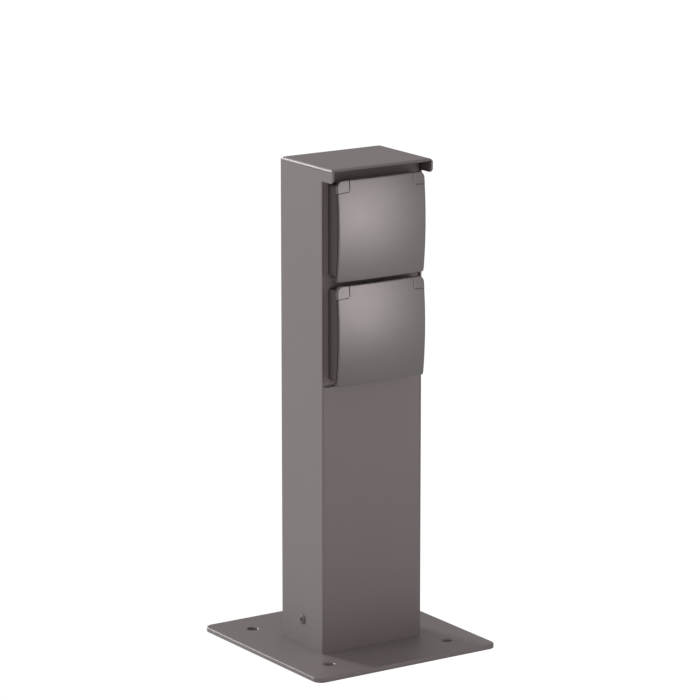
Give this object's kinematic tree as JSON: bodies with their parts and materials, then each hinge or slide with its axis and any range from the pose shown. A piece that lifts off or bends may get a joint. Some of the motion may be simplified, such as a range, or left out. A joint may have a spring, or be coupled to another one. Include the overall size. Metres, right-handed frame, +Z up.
{
  "type": "garden socket post",
  "caption": "Rectangular garden socket post on a square base plate, with bowed spring-closed lids over weatherproof sockets under a small projecting hood.",
  "frame": {"origin": "centre of the base plate's underside", "axes": "+Z up along the post, front with the lids towards -Y, +X to the right seen from the front"},
  "size_m": [0.182, 0.182, 0.421],
  "materials": {
    "paint": "satin warm-grey powder coat",
    "lid_plastic": "satin warm-grey moulded plastic",
    "frame_plastic": "dark grey moulded plastic",
    "dark_coat": "matt dark primer on sheet steel",
    "steel": "zinc-plated",
    "screw_steel": "screw heads coated in the grey of the post",
    "brass": "plain",
    "rubber": "matt black",
    "moulding": "ivory thermoset",
    "live_wire": "brown insulation",
    "neutral_wire": "blue insulation",
    "earth_wire": "green and yellow insulation"
  },
  "bodies": {
    "post": {"base_plate": "paint", "left_foot_angle": "steel", "right_foot_angle": "steel", "foot_screws": "steel", "cable_grommet": "rubber", "post_tube": "paint", "roof_plate": "paint", "post_fixing_screws": "screw_steel", "carrier_plate": "dark_coat", "terminal_bracket": "steel", "terminal_block": "moulding", "terminal_screws": "brass", "block_screws": "steel", "earth_stud": "steel", "earth_nuts": "steel", "earth_lug": "brass", "live_wires": "live_wire", "neutral_wires": "neutral_wire", "earth_wires": "earth_wire", "upper_frame_gasket": "rubber", "upper_frame": "frame_plastic", "upper_frame_screws": "steel", "upper_support_ring": "steel", "upper_ring_screws": "steel", "upper_socket_base": "moulding", "upper_contact_sleeves": "brass", "upper_earth_clip": "brass", "upper_cover": "lid_plastic", "upper_centre_screw": "steel", "upper_hinge_caps": "lid_plastic", "upper_hinge_pin": "steel", "upper_lid_spring": "steel", "lower_frame_gasket": "rubber", "lower_frame": "frame_plastic", "lower_frame_screws": "steel", "lower_support_ring": "steel", "lower_ring_screws": "steel", "lower_socket_base": "moulding", "lower_contact_sleeves": "brass", "lower_earth_clip": "brass", "lower_cover": "lid_plastic", "lower_centre_screw": "steel", "lower_hinge_caps": "lid_plastic", "lower_hinge_pin": "steel", "lower_lid_spring": "steel"},
    "upper_flap": {"upper_lid": "lid_plastic", "upper_lid_seal": "rubber"},
    "lower_flap": {"lower_lid": "lid_plastic", "lower_lid_seal": "rubber"}
  },
  "joints": [
    {"name": "upper_lid_hinge", "type": "hinge", "parent": "post", "child": "upper_flap", "pos_m": [0, -0.0438, 0.4052], "axis": [-1, 0, 0], "range_deg": [0, 105], "stiffness_Nm_per_rad": 0.01, "springref_deg": -34.38, "deforming": ["upper_lid_spring"]},
    {"name": "lower_lid_hinge", "type": "hinge", "parent": "post", "child": "lower_flap", "pos_m": [0, -0.0438, 0.3165], "axis": [-1, 0, 0], "range_deg": [0, 105], "stiffness_Nm_per_rad": 0.01, "springref_deg": -34.38, "deforming": ["lower_lid_spring"]}
  ]
}
